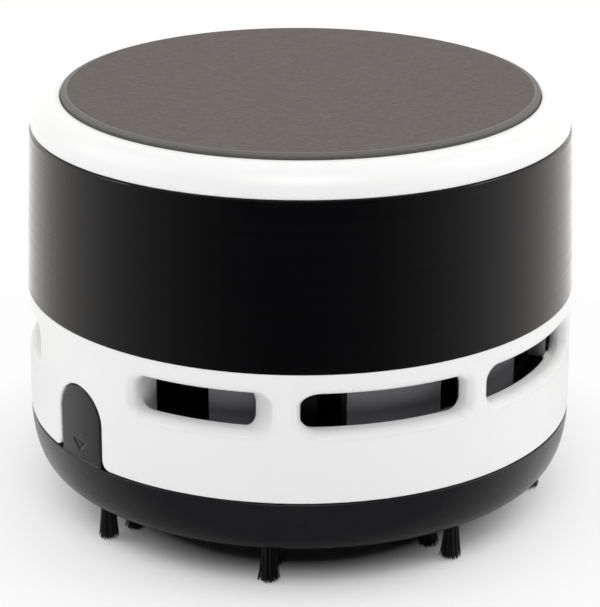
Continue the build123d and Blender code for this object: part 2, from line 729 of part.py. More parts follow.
# Cells: plain round cells that lie along Y, the two ends swapped
with BuildPart() as battery_cells:
    for side in (-1, 1):
        with BuildSketch(Plane.XZ.offset(side * CELL_NUB_L / 2)):
            with Locations((side * cell_x, z_cell)):
                Circle(cell_r)
        extrude(amount=CELL_L / 2, both=True)
        with BuildSketch(Plane.XZ):
            with Locations((side * cell_x, z_cell)):
                Circle(CELL_NUB_D / 2)
        extrude(amount=-side * (CELL_L + CELL_NUB_L) / 2)
save(battery_cells, "battery_cells")

# Contacts: one bridge at the front end wall and a leaf for each cell at the rear one
contact_y = end_wall_y - CONTACT_T / 2
z_contact = z_cell - CONTACT_H / 2
with BuildPart() as contact_bridge:
    extrude(plate_at(2 * cell_x + CONTACT_LEAF_W, CONTACT_T, 0, -contact_y, z_contact), amount=CONTACT_H)
    with BuildSketch(Plane.XZ.offset(end_wall_y - CONTACT_T)):
        for side in (-1, 1):
            with Locations((side * cell_x, z_cell)):
                Circle(CONTACT_BUMP_R)
    extrude(amount=-CONTACT_BUMP_H)
save(contact_bridge, "contact_bridge")

with BuildPart() as contact_leaves:
    for side in (-1, 1):
        extrude(plate_at(CONTACT_LEAF_W, CONTACT_T, side * cell_x, contact_y, z_contact), amount=CONTACT_H)
    with BuildSketch(Plane.XZ.offset(CONTACT_T - end_wall_y)):
        for side in (-1, 1):
            with Locations((side * cell_x, z_cell)):
                Circle(CONTACT_BUMP_R)
    extrude(amount=CONTACT_BUMP_H)
save(contact_leaves, "contact_leaves")

# Slide switch: a body on the chassis and a knob in the band's pocket, stored at its off end
with BuildPart() as switch_body:
    extrude(plate_at(SWITCH_W, SWITCH_D, 0, switch_y, z_switch_foot), amount=SWITCH_H)
save(switch_body, "switch_body")

knob_x = -SWITCH_TRAVEL / 2
knob_back_y = pocket_y + RUN_GAP
knob_face_y = switch_band_r + KNOB_PROUD
with BuildPart() as switch_knob:
    with BuildSketch(Plane.XZ.offset(-knob_face_y)):
        with Locations((knob_x, z_switch)):
            RectangleRounded(KNOB_W, KNOB_H, KNOB_ROUND)
    extrude(amount=knob_face_y - knob_back_y)
    with BuildSketch(Plane.XZ.offset(-knob_face_y)):
        with Locations((knob_x, z_switch)):
            with GridLocations(2 * KNOB_GROOVE_W, KNOB_H, KNOB_GROOVE_COUNT, 1):
                Rectangle(KNOB_GROOVE_W, KNOB_H)
    extrude(amount=KNOB_GROOVE_DEPTH, mode=Mode.SUBTRACT)
    stem_from = switch_face_y + RUN_GAP
    stem_y = (knob_back_y + stem_from) / 2
    extrude(plate_at(STEM_W, knob_back_y - stem_from, knob_x, stem_y, z_switch - STEM_H / 2), amount=STEM_H)
save(switch_knob, "switch_knob")
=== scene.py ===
"""Looks of the mini desk vacuum: finishes, bristles, tabs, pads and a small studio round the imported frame.

Lengths are metres in the frame's own axes: the floor under the brush tips is z = 0, Z is the body's axis,
the push tabs lie on X and the switch on +Y. A bearing is an angle about Z, counted from -Y towards +X.
"""

import math

import bpy
import numpy as np
from mathutils import Matrix, Vector


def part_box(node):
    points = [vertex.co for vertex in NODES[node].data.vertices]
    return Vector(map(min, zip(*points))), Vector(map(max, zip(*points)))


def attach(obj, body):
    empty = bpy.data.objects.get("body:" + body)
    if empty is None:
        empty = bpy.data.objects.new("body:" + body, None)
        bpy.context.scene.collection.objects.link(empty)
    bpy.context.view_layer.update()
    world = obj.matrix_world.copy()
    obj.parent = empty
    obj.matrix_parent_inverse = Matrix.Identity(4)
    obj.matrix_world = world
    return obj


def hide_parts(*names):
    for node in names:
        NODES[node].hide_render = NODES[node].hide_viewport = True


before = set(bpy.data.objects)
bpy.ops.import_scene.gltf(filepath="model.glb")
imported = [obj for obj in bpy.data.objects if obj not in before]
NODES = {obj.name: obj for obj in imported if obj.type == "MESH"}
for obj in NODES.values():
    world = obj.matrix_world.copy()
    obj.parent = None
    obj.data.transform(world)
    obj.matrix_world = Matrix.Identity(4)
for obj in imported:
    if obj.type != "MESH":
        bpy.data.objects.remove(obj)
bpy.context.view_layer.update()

bl_info = {
    "name": "Mini desk vacuum",
    "version": (1, 0, 0),
    "blender": (4, 5, 0),
    "location": "3D View > Sidebar > Desk vacuum",
    "description": "Dresses the packed desk vacuum and sets up a small studio",
    "category": "Object",
}

MM = 0.001
TAU = 2 * math.pi
PAD_LOW, PAD_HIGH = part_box("lid_pad")
LID_LOW, LID_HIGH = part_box("lid_ring")
FELT_LOW, FELT_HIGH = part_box("filter_pad")
TAB_LOW, TAB_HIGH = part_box("push_tab_right")
TRAY_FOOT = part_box("base_tray")[0].z
BAND_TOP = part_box("band_sleeve")[1].z


# Meshes from arrays

ROUND_SHARE = 0.45  # of the shorter side at a corner, the most that its rounding takes
ROUND_HOLD = 1.1  # of a rounding's reach, where one more point keeps each flat flat


def grid_faces(rows, cols, wrap):
    """Corner numbers of the quads of a grid whose points are numbered row by row.

    Where wrap is true, the last column joins the first.
    """
    row = np.arange(rows - 1)[:, None] * cols
    col = np.arange(cols if wrap else cols - 1)[None, :]
    after = (col + 1) % cols
    corners = np.stack([row + col, row + after, row + cols + after, row + cols + col], axis=-1)
    return corners.reshape(-1, 4)


def mesh_piece(name, points, face_sets, finish, along=None):
    """A smooth mesh object from points and some arrays of faces, each array with one number of corners.

    Where along is given, a UV map holds it: one pair for each point, spread to the corners of the faces.
    """
    mesh = bpy.data.meshes.new(name)
    corners = np.concatenate([faces.ravel() for faces in face_sets]).astype(np.int32)
    sizes = np.concatenate([np.full(len(faces), faces.shape[1]) for faces in face_sets])
    mesh.vertices.add(len(points))
    mesh.vertices.foreach_set("co", np.ascontiguousarray(points, dtype=np.float32).ravel())
    mesh.loops.add(len(corners))
    mesh.loops.foreach_set("vertex_index", corners)
    mesh.polygons.add(len(sizes))
    mesh.polygons.foreach_set("loop_start", (np.cumsum(sizes) - sizes).astype(np.int32))
    mesh.polygons.foreach_set("use_smooth", np.ones(len(sizes), dtype=bool))
    if along is not None:
        layer = mesh.uv_layers.new(name="along")
        layer.data.foreach_set("uv", np.ascontiguousarray(along[corners], dtype=np.float32).ravel())
    mesh.update(calc_edges=True)
    mesh.validate()
    mesh.materials.append(finish)
    piece = bpy.data.objects.new(name, mesh)
    bpy.context.scene.collection.objects.link(piece)
    return piece


def rounded(corners, radius, steps=5):
    """A profile through corners, each inner corner c rounded by the curve s (1-t)^2 + 2 c t (1-t) + e t^2.

    s and e lie a radius before and after c. The radius is one for all of them, or one for each.
    """
    corners = np.asarray(corners, dtype=float)
    way = np.diff(corners, axis=0)
    room = np.linalg.norm(way, axis=1)
    way = way / room[:, None]
    reach = np.minimum(np.minimum(room[:-1], room[1:]) * ROUND_SHARE, radius)[:, None, None]
    turn = np.linspace(0, 1, steps)[None, :, None]
    middle, before, after = corners[1:-1, None], -way[:-1, None], way[1:, None]
    bend = middle + reach * ((1 - turn) ** 2 * before + turn ** 2 * after)
    ends = [middle + ROUND_HOLD * reach * side for side in (before, after)]
    hold = np.concatenate([ends[0], bend, ends[1]], axis=1)
    return np.concatenate([corners[:1], hold.reshape(-1, 2), corners[-1:]])


def about_axis(radius, turn, height):
    """Points (r cos t, r sin t, z) about the Z axis."""
    return np.stack([radius * np.cos(turn), radius * np.sin(turn), height], axis=-1)


def turned(rings, count):
    """Points and faces of rings about Z, closed by a pole over each end ring.

    rings holds (r, z) pairs, or an array of (r, z) for each ring and turn, from the foot up on the outside.
    """
    turn = np.linspace(0, TAU, count, endpoint=False)
    rings = np.broadcast_to(rings if rings.ndim == 3 else rings[:, None], (len(rings), count, 2))
    wall = about_axis(rings[..., 0], turn, rings[..., 1])
    poles = np.array([[0, 0, rings[0, :, 1].mean()], [0, 0, rings[-1, :, 1].mean()]])
    points = np.concatenate([wall.reshape(-1, 3), poles])
    around = np.arange(count)
    after = (around + 1) % count
    last, foot = (len(rings) - 1) * count, len(rings) * count
    under = np.stack([after, around, np.full(count, foot)], axis=-1)
    over = np.stack([last + around, last + after, np.full(count, foot + 1)], axis=-1)
    return points, [grid_faces(len(rings), count, True), under, over]


def smooth_step(value, low, high):
    """0 below low, 1 above high, and 3t^2 - 2t^3 between them."""
    share = np.clip((value - low) / (high - low), 0, 1)
    return share * share * (3 - 2 * share)


# Finishes

NOISE_SPAN = (0.25, 0.75)  # what noise usually runs over
TONE_SPOT, GLOSS_SPOT = 12 * MM, 4 * MM  # spots of the slow drift in tone and in gloss
TONE_DRIFT, GLOSS_DRIFT = 0.06, 0.12  # share of a moulding's tone and gloss that drifts
MOULD_GRAIN, GRAIN_RELIEF = 0.4 * MM, 0.035  # size of a moulding's grain, and its depth by that
EDGE_SOFT, MOULD_SOFT = 0.2 * MM, 0.25 * MM
EDGE_SAMPLES = 6
CRISP_STEPS = ((-0.1, -0.1), (0.1, 0.18), (0.78, 0.58), (0.92, 1.0))
BEVEL_REACH, BEVEL_SKIP = 0.6 * MM, 0.01 * MM  # height of the band's bevel, and of the bit left at its top
BEVEL_START, BEVEL_END = 0.23 * MM, 0.13 * MM  # where its shading turns, down from the top
BEVEL_TILT = (0.04, 0.46)  # how far it leans up before and after that
# The seats' side faces inside and under these are painted black: painted shade on white moulding.
SEAT_R, SEAT_TOP = 39.4 * MM, 26 * MM  # the post seats lie inside and under these
SEAT_MIDDLE, SEAT_HALF = math.radians(38), math.radians(13)  # and so far to the side of the Y axis
DRUM_R, DRUM_SKIN = 36 * MM, (0.2 * MM, 0.6 * MM)  # the panels' outer face, and its blend
POST_EDGE = (36.9 * MM, 37.1 * MM)  # the posts begin outside the drum
# Panels outside these bearings are painted black as painted shade for the dark inside of the drum.
PANEL_STOPS = ((-63, 1), (-39.6, 0), (-29.43, 1), (24.66, 0))  # bearings where grey begins and ends
PAD_SPAN = (0.35, 0.65)  # noise is sharper on the pad
PAD_MOTTLE = (0.15, 0.21, 0.23)  # how far its red, green and blue drift
PAD_RINGS = 0.3 * MM  # pitch of the turning marks on its rim
CELL_CAP, CELL_RING = 23.8 * MM, 20.5 * MM  # where a cell's metal and pale ring begin

# painted shade for the side faces of the post seats
SEAT_PAINTED_SHADE = (0.006, 0.006, 0.006)
LINING_PAINTED_SHADE = (0.004, 0.004, 0.0045)
POST_GREY = (0.12, 0.12, 0.115)
FRAME_BLACK = (0.006, 0.006, 0.0065)
FAN_BLACK = (0.0025, 0.0025, 0.003)
FELT_BLACK = (0.012, 0.012, 0.013)
SWITCH_BLACK = (0.012, 0.012, 0.013)
KNOB_GREY = (0.2, 0.2, 0.2)
CHASSIS_GREY = (0.055, 0.055, 0.06)
CAP_NYLON = (0.66, 0.64, 0.58)
SCREW_METAL = (0.55, 0.54, 0.52)
CAN_METAL = (0.6, 0.59, 0.57)
SHAFT_METAL = (0.66, 0.66, 0.65)
CONTACT_METAL = (0.72, 0.68, 0.58)
CELL_METAL = (0.62, 0.61, 0.58)
WRAP_BLUE = (0.03, 0.045, 0.075)
WRAP_RING = (0.33, 0.3, 0.24)


class Nodes:
    """A node tree in the making."""

    def __init__(self, tree):
        self.tree = tree

    def add(self, kind, inputs=(), **settings):
        """A new node with its settings, and its inputs set to values or linked to sockets."""
        node = self.tree.nodes.new(kind)
        for key, value in settings.items():
            setattr(node, key, value)
        for key, value in dict(inputs).items():
            if isinstance(value, bpy.types.NodeSocket):
                self.tree.links.new(value, node.inputs[key])
            else:
                node.inputs[key].default_value = value
        return node

    def run(self, value, source, target=(0.0, 1.0)):
        """A number that runs over the target range, straight, as a value runs over the source range."""
        ends = zip(("From Min", "From Max", "To Min", "To Max"), (*source, *target))
        return self.add("ShaderNodeMapRange", {"Value": value, **dict(ends)}).outputs["Result"]

    def number(self, operation, one, other=0.0, third=0.0):
        """A number made from one, two or three others by a Math node."""
        return self.add("ShaderNodeMath", {0: one, 1: other, 2: third}, operation=operation).outputs["Value"]

    def vector(self, operation, one, other=(0, 0, 0), scale=1.0):
        """A vector made from one or two others by a Vector Math node."""
        inputs = {0: one, 1: other, 3: scale}
        return self.add("ShaderNodeVectorMath", inputs, operation=operation).outputs["Vector"]

    def measure(self, operation, one, other=(0, 0, 0)):
        """A number made from one or two vectors by a Vector Math node."""
        return self.add("ShaderNodeVectorMath", {0: one, 1: other}, operation=operation).outputs["Value"]

    def parts(self, vector):
        """The X, Y and Z of a vector."""
        return self.add("ShaderNodeSeparateXYZ", {"Vector": vector}).outputs

    def number_between(self, fac, one, other):
        """A number between two, by a number from 0 to 1."""
        return self.add("ShaderNodeMix", {"Factor": fac, "A": one, "B": other}).outputs["Result"]

    def vector_between(self, fac, one, other):
        """A vector between two, by a number from 0 to 1."""
        inputs = {"Factor": fac, 4: one, 5: other}
        return self.add("ShaderNodeMix", inputs, data_type="VECTOR").outputs[1]

    def blend(self, fac, one, other):
        """A colour between two, by a number from 0 to 1."""
        one, other = (end if isinstance(end, bpy.types.NodeSocket) else (*end, 1) for end in (one, other))
        return self.add("ShaderNodeMix", {"Factor": fac, 6: one, 7: other}, data_type="RGBA").outputs[2]

    def tones(self, fac, colour, low, high):
        """A colour between two shades of one, by a number from 0 to 1."""
        return self.blend(fac, shade(colour, low), shade(colour, high))


class Finish(Nodes):
    """A procedural material in the making: its Principled shader and the nodes that finishes are made of."""

    def __init__(self, name, colour, roughness, **values):
        self.material = bpy.data.materials.new(name)
        self.material.use_nodes = True
        super().__init__(self.material.node_tree)
        self.shader = self.tree.nodes["Principled BSDF"]
        self.shader.inputs["Base Color"].default_value = (*colour, 1)
        self.shader.inputs["Roughness"].default_value = roughness
        for socket, value in values.items():
            self.shader.inputs[socket.replace("_", " ")].default_value = value
        self.place = self.add("ShaderNodeTexCoord").outputs["Object"]
        self.normal = None

    def feed(self, name, socket):
        """Let a socket drive one of the shader's inputs."""
        self.tree.links.new(socket, self.shader.inputs[name])

    def face(self, normal):
        """Shade by a normal, which later relief is laid over."""
        self.normal = normal
        self.feed("Normal", normal)

    def noise(self, size, detail=2.0, stretch=(1, 1, 1)):
        """Noise whose spots are about size metres wide, drawn out along each axis by its stretch."""
        scale = tuple(1 / (size * part) for part in stretch)
        place = self.add("ShaderNodeMapping", {"Vector": self.place, "Scale": scale}).outputs["Vector"]
        inputs = {"Vector": place, "Scale": 1.0, "Detail": detail}
        return self.add("ShaderNodeTexNoise", inputs).outputs["Fac"]

    def spread(self, fac, low, high):
        """A number that runs from low to high as the noise runs over its usual range."""
        return self.run(fac, NOISE_SPAN, (low, high))

    def outward(self):
        """The level way out from the Z axis."""
        return self.vector("NORMALIZE", self.vector("MULTIPLY", self.place, (1, 1, 0)))

    def radius(self):
        """Distance from the Z axis."""
        return self.measure("LENGTH", self.vector("MULTIPLY", self.place, (1, 1, 0)))

    def bump(self, fac, depth):
        """Relief of a depth in metres, laid over the relief that is there already."""
        inputs = {"Height": fac, "Strength": 1.0, "Distance": depth}
        if self.normal is not None:
            inputs["Normal"] = self.normal
        self.face(self.add("ShaderNodeBump", inputs).outputs["Normal"])

    def soft_edges(self, radius):
        """Edges shaded as if rounded by a radius; comes before any bump."""
        self.face(self.add("ShaderNodeBevel", {"Radius": radius}, samples=EDGE_SAMPLES).outputs["Normal"])

    def crisp_rounds(self):
        """Rounds on the outside of a wall about Z, shaded as a flare that meets the wall in a narrow bend.

        The cosine between the normal and the way out from the axis is drawn out in straight steps, from and
        to the pairs of CRISP_STEPS; comes after soft_edges and before any bump.
        """
        out = self.outward()
        lean = self.measure("DOT_PRODUCT", self.normal, out)
        level = self.vector("SUBTRACT", self.normal, self.vector("SCALE", out, scale=lean))
        across = self.vector("NORMALIZE", level)
        share = CRISP_STEPS[0][1]
        for (start, low), (end, high) in zip(CRISP_STEPS, CRISP_STEPS[1:]):
            share = self.number("ADD", share, self.run(lean, (start, end), (0.0, high - low)))
        rest = self.number("SQRT", self.number("SUBTRACT", 1.0, self.number("MULTIPLY", share, share)))
        flare = self.vector("SCALE", out, scale=share)
        bent = self.vector("ADD", flare, self.vector("SCALE", across, scale=rest))
        outside = self.number("GREATER_THAN", lean, CRISP_STEPS[0][0])
        self.face(self.vector("NORMALIZE", self.vector_between(outside, self.normal, bent)))

    def narrow_bevel(self, top):
        """The bevel under the top edge of a wall about Z, shaded as a small round: the way out, tilted up."""
        rise = self.parts(self.place)["Z"]
        tilt = self.run(rise, (top - BEVEL_START, top - BEVEL_END), BEVEL_TILT)
        up = self.vector("SCALE", (0, 0, 1), scale=tilt)
        bent = self.vector("NORMALIZE", self.vector("ADD", self.outward(), up))
        near = self.number("COMPARE", rise, top - BEVEL_REACH / 2 - BEVEL_SKIP, BEVEL_REACH / 2)
        self.face(self.vector_between(near, self.normal, bent))


def shade(colour, factor):
    """A colour made darker or lighter by a factor."""
    return tuple(min(1.0, part * factor) for part in colour)


def moulding(name, colour, roughness, grain=MOULD_GRAIN, specular=0.5, soften=MOULD_SOFT):
    """Moulded plastic: a fine grain, soft drift in tone and gloss, and edges that catch the light."""
    made = Finish(name, colour, roughness, Specular_IOR_Level=specular)
    made.soft_edges(soften)
    drift = made.noise(TONE_SPOT, detail=3.0)
    made.feed("Base Color", made.tones(drift, colour, 1 - TONE_DRIFT, 1 + TONE_DRIFT))
    gloss = roughness * (1 - GLOSS_DRIFT), roughness * (1 + GLOSS_DRIFT)
    made.feed("Roughness", made.spread(made.noise(GLOSS_SPOT, detail=4.0), *gloss))
    made.bump(made.noise(grain), grain * GRAIN_RELIEF)
    return made.material


def base_black(context, name, factor):
    """The satin black of the tray; for the tabs a factor paints it lighter, as painted light on the same
    plastic.
    """
    return moulding(name, shade(context.scene.vacuum_colours.black, factor), roughness=0.26, specular=0.58)


def white_plastic(name, colour, depth):
    """White satin moulding that light gets into by a share of its colour; its grain is still to come."""
    inner = {"Subsurface_Weight": depth, "Subsurface_Scale": 1.5 * MM, "Subsurface_Radius": (1, 0.95, 0.9)}
    made = Finish(name, colour, roughness=0.34, **inner)
    made.soft_edges(EDGE_SOFT)
    return made


def grain_white(made, colour):
    """Lay the gloss drift and fine grain of the white mouldings over their edges, and give their tone."""
    made.feed("Roughness", made.spread(made.noise(GLOSS_SPOT, detail=4.0), 0.3, 0.38))
    made.bump(made.noise(0.35 * MM), depth=0.012 * MM)
    return made.tones(made.noise(TONE_SPOT, detail=3.0), colour, 0.988, 1.012)


def slotted_white(colour, seat):
    """White moulding with crisp slot edges; the side faces of the seats for the housing's posts inside the
    wall are painted black as painted shade, though the moulding is white there.
    """
    made = white_plastic("white_slotted_moulding", colour, depth=0.08)
    made.crisp_rounds()
    tone = grain_white(made, colour)
    place = made.parts(made.place)
    aside = made.number("ARCTAN2", made.number("ABSOLUTE", place["X"]), made.number("ABSOLUTE", place["Y"]))
    near = made.number("COMPARE", aside, SEAT_MIDDLE, SEAT_HALF)
    inside = made.number("LESS_THAN", made.radius(), SEAT_R)
    low = made.number("LESS_THAN", place["Z"], SEAT_TOP)
    # painted shade: the seats' side faces are painted black
    painted_seat_shade = made.number("MULTIPLY", near, made.number("MULTIPLY", inside, low))
    made.feed("Base Color", made.blend(painted_seat_shade, tone, seat))
    return made.material


def lined_housing(colour, inner_painted_shade, post):
    """Smooth grey plastic on the outside of some of the drum's panels; the rest is black, as painted shade.

    The screw posts outside the drum have a grey of their own. The panels repeat after half a turn, so one
    ramp over bearings from -90 to 90 degrees says which of them are grey.
    """
    made = Finish("housing_smooth_grey", colour, roughness=0.4, Specular_IOR_Level=0.25)
    made.soft_edges(EDGE_SOFT)
    tone = made.tones(made.noise(10 * MM, detail=3.0), colour, 0.94, 1.06)
    place, radius = made.parts(made.place), made.radius()
    away = made.number("ABSOLUTE", made.number("SUBTRACT", radius, DRUM_R))
    skin = made.run(away, DRUM_SKIN, (1.0, 0.0))
    bearing = made.number("ARCTAN2", place["X"], made.number("MULTIPLY", place["Y"], -1.0))
    half_turns = made.number("WRAP", made.number("DIVIDE", bearing, math.pi), 0.5, -0.5)
    panels = made.add("ShaderNodeValToRGB", {"Fac": made.run(half_turns, (-0.5, 0.5))})
    ramp = panels.color_ramp
    ramp.interpolation = "CONSTANT"
    ramp.elements[-1].color = (0, 0, 0, 1)
    for degrees, level in PANEL_STOPS:
        ramp.elements.new((degrees + 90) / 180).color = (level, level, level, 1)
    # The black on the drum's other faces and panels is painted shade; the posts keep their own grey.
    dark = made.blend(made.run(radius, POST_EDGE), inner_painted_shade, post)
    grey = made.number("MULTIPLY", skin, panels.outputs["Color"])
    made.feed("Base Color", made.blend(grey, dark, tone))
    made.feed("Roughness", made.spread(made.noise(GLOSS_SPOT, detail=4.0), 0.36, 0.46))
    made.bump(made.noise(0.5 * MM), depth=0.012 * MM)
    return made.material


def brushed_band(colour):
    """Black sleeve with a fine grain drawn round it, seen as faint level lines."""
    made = Finish("band_brushed_black", colour, roughness=0.15, Specular_IOR_Level=0.5)
    made.soft_edges(EDGE_SOFT)
    made.narrow_bevel(BAND_TOP)
    lines = made.noise(0.22 * MM, detail=3.0, stretch=(60, 60, 1))
    long_lines = made.noise(0.9 * MM, detail=2.0, stretch=(45, 45, 1))
    made.feed("Base Color", made.tones(lines, colour, 0.2, 1.8))
    made.feed("Roughness", made.spread(long_lines, 0.1, 0.2))
    made.bump(long_lines, depth=0.03 * MM)
    made.bump(lines, depth=0.009 * MM)
    return made.material


def grained_pad(colour, rim, crest):
    """Matt grained sheet of the lid: small pits and a mottled warm grey.

    Its crest carries a painted highlight, a narrow pale line; outside it the rim is smooth and has fine
    turning marks.
    """
    made = Finish("pad_grained_grey", colour, roughness=0.72, Specular_IOR_Level=0.5)
    radius = made.radius()
    flat = made.run(radius, (crest - 0.1 * MM, crest + 0.1 * MM), (1.0, 0.0))
    from_crest = made.number("ABSOLUTE", made.number("SUBTRACT", radius, crest))
    # painted highlight: a narrow pale line along the crest
    painted_crest_highlight = made.run(from_crest, (0.05 * MM, 0.16 * MM), (1.0, 0.0))
    grain = made.run(made.noise(0.7 * MM, detail=4.0), PAD_SPAN)
    fine = made.noise(0.16 * MM)
    drift = made.run(made.noise(1.3 * MM, detail=3.0), PAD_SPAN)
    tone = made.tones(grain, colour, 0.3, 1.7)
    cool, warm = (
        tuple(part * (1 + sign * by) for part, by in zip(colour, PAD_MOTTLE)) for sign in (-1, 1)
    )
    sheet = made.blend(0.45, tone, made.blend(drift, cool, warm))
    made.feed("Base Color", made.blend(painted_crest_highlight, made.blend(flat, rim, sheet), shade(rim, 1.7)))
    made.feed("Roughness", made.run(flat, (0.0, 1.0), (0.55, made.spread(grain, 0.62, 0.84))))
    made.bump(made.number("MULTIPLY", grain, flat), depth=0.04 * MM)
    made.bump(made.number("MULTIPLY", fine, flat), depth=0.02 * MM)
    made.bump(made.number("SINE", made.number("MULTIPLY", radius, TAU / PAD_RINGS)), depth=0.002 * MM)
    return made.material


def bristle_nylon(colour, tip):
    """Black nylon bristle, a few strands painted pale as painted glints, and worn where the tip is cut.

    The UV map holds a chance for each bristle and how far along it a point lies.
    """
    made = Finish("bristle_nylon", colour, roughness=0.3, Specular_IOR_Level=0.5)
    along = made.parts(made.add("ShaderNodeUVMap", uv_map="along").outputs["UV"])
    streak = made.noise(0.4 * MM, detail=2.0, stretch=(1, 1, 6))
    # painted glints: a few strands are painted pale in place of highlights along them
    pale = made.number("POWER", along["X"], 4.0)
    body = made.blend(pale, made.tones(streak, colour, 0.6, 1.5), shade(colour, 14))
    made.feed("Base Color", made.blend(made.run(along["Y"], (0.93, 1.0)), body, tip))
    made.bump(streak, depth=0.01 * MM)
    return made.material


def plated(name, colour, roughness, stretch):
    """Plated metal with fine drawing lines along one way."""
    made = Finish(name, colour, roughness, Metallic=1.0)
    made.soft_edges(EDGE_SOFT)
    lines = made.noise(0.3 * MM, detail=3.0, stretch=stretch)
    made.feed("Base Color", made.tones(lines, colour, 0.85, 1.08))
    made.feed("Roughness", made.spread(lines, roughness * 0.75, roughness * 1.3))
    made.bump(lines, depth=0.006 * MM)
    return made.material


def cell_wrap(colour, ring, metal):
    """Shrink sleeve of a cell: one plain colour, a pale ring near each end, and bare metal at the ends."""
    made = Finish("cell_shrink_wrap", colour, roughness=0.32)
    reach = made.number("ABSOLUTE", made.parts(made.place)["Y"])
    bare = made.number("GREATER_THAN", reach, CELL_CAP)
    shoulder = made.number("GREATER_THAN", reach, CELL_RING)
    tone = made.tones(made.noise(6 * MM, detail=3.0), colour, 0.92, 1.08)
    made.feed("Base Color", made.blend(bare, made.blend(shoulder, tone, ring), metal))
    made.feed("Metallic", bare)
    made.bump(made.noise(1.1 * MM, detail=2.0, stretch=(1, 8, 1)), depth=0.02 * MM)
    return made.material


def pressed_felt(colour):
    """Pressed felt: short crossing fibres."""
    made = Finish("filter_felt", colour, roughness=0.95, Specular_IOR_Level=0.1)
    one = made.noise(0.3 * MM, detail=4.0, stretch=(6, 1, 1))
    other = made.noise(0.3 * MM, detail=4.0, stretch=(1, 6, 1))
    fibres = made.run(made.number("MULTIPLY", one, other), (0.1, 0.45))
    made.feed("Base Color", made.tones(fibres, colour, 0.6, 1.1))
    made.bump(fibres, depth=0.12 * MM)
    return made.material


def dress(node, finish):
    """Give a node of the frame a finish in each of its material slots."""
    piece = NODES[node]
    for place in piece.material_slots:
        place.material = finish


# Sizes and colours a user may change

def colour_property(name, description, default):
    """A colour for the sidebar."""
    return bpy.props.FloatVectorProperty(
        name=name, description=description, subtype="COLOR", size=3, min=0, max=1, default=default
    )


def length_property(name, description, default):
    """A length in metres for the sidebar."""
    return bpy.props.FloatProperty(
        name=name, description=description, unit="LENGTH", min=0, default=default, precision=5
    )


class VacuumColours(bpy.types.PropertyGroup):
    """Colours of the main finishes."""

    white: colour_property("White", "Shell and lid ring", (0.86, 0.86, 0.857))
    band: colour_property("Band", "Sleeve round the upper half", (0.001, 0.0006, 0.0013))
    black: colour_property("Black", "Base tray and push tabs", (0.009, 0.0082, 0.0102))
    pad: colour_property("Pad", "Grained sheet on the lid", (0.0965, 0.0835, 0.0765))
    pad_rim: colour_property("Pad rim", "Smooth rim of that sheet", (0.108, 0.106, 0.098))
    housing: colour_property("Housing", "Fan housing behind the slots", (0.225, 0.226, 0.246))
    bristle: colour_property("Bristle", "Nylon of the brush", (0.002, 0.002, 0.002))
    bristle_tip: colour_property("Bristle tip", "Worn cut end of a bristle", (0.05, 0.045, 0.03))
    floor: colour_property("Floor", "Studio floor", (0.9, 0.9, 0.9))


class VacuumSizes(bpy.types.PropertyGroup):
    """Sizes of the pieces that are made here."""

    pad_bevel_width: length_property("Pad bevel width", "How far the pad's bevel runs in", 0.85 * MM)
    pad_bevel_rise: length_property("Pad bevel rise", "How much the pad's bevel climbs", 0.3 * MM)
    pad_edge: length_property("Pad edge", "Rounding of the pad's edges", 0.15 * MM)
    lid_lip: length_property("Lid lip", "How far the lid's rim reaches down to the band", 0.02 * MM)
    lid_edge: length_property("Lid edge", "Rounding of the lid ring's edges", 0.12 * MM)
    tab_edge: length_property("Tab edge", "Rounding of a push tab's edge", 0.22 * MM)
    arrow_depth: length_property("Arrow depth", "Depth of the outlined arrow on a tab", 0.15 * MM)
    strand_width: length_property("Strand width", "Thickness of one bristle", 0.16 * MM)
    strands: bpy.props.IntProperty(
        name="Strands", description="Bristles in one tuft", min=8, max=300, default=170
    )
    splay: bpy.props.FloatProperty(
        name="Splay", description="How much wider a tuft is at its tips", subtype="FACTOR",
        min=0, max=1, default=0.75,
    )


# Pieces

AROUND, LID_STEPS, PAD_STEPS = 256, 40, 24  # corners round a piece, and rings on it
POLE_R = 2 * MM  # innermost ring of a round face
LID_SHOULDER_W, LID_SHOULDER_H = 4.16 * MM, 3.7 * MM
LID_SPIGOT_R, LID_SPIGOT_T, LID_SPIGOT_H = 37.497 * MM, 1.6 * MM, 3.0 * MM
LID_PLATE_T, LID_LIP_W, PAD_CLEAR = 1.6 * MM, 1.2 * MM, 0.15 * MM
LID_LIP_FLAT = 0.8  # share of the lip's width that hangs lowest
# the lid's white is painted a little lighter than the shell's, as painted light for its brighter top
LID_PAINTED_LIGHT = 1.04  # the lid is a little whiter than the shell
PAD_FACE_IN = 2 * MM  # where the pad's flat face takes over from its edge
PAD_ROUNDS = np.array([1, 1, 3])
TAB_ROWS, TAB_COLS = 150, 130
# the tabs are painted a little lighter than the tray, as painted light; they are the same plastic
TAB_PAINTED_LIGHT = 1.5  # the tabs are a little lighter than the tray
TAB_FOOT = TAB_LOW.z + 0.99 * MM  # just over the seam that the tab hinges on
TAB_THICK, TAB_HEEL, TAB_LIP = 2.0 * MM, 0.18 * MM, 0.14 * MM
TAB_LIP_START, TAB_LIP_END = TAB_FOOT + 0.1 * MM, TAB_FOOT + 0.3 * MM
TAB_FOOT_ROUND = 5  # how much sharper the tab's foot is rounded than its sides
ARROW_W, ARROW_H, ARROW_LINE, ARROW_RISE = 2.75 * MM, 1.3 * MM, 0.36 * MM, 1.72 * MM
ARROW_FLOOR, ARROW_EDGE = 0.3 * ARROW_LINE, 0.75 * ARROW_LINE
TUFTS, STRAND_RINGS, STRAND_SIDES = 8, 6, 5
TUFT_RINGS = {"brush_outer": 36.997 * MM, "brush_inner": 30.697 * MM}
TUFT_LEANS = {"brush_outer": 0.0, "brush_inner": 1.2 * MM}
TUFT_SEEDS = {"brush_outer": 3, "brush_inner": 8}
TUFT_TURN = math.radians(-1.7)
TUFT_ROOT = TRAY_FOOT + 1.75 * MM  # where the roots end inside the tray
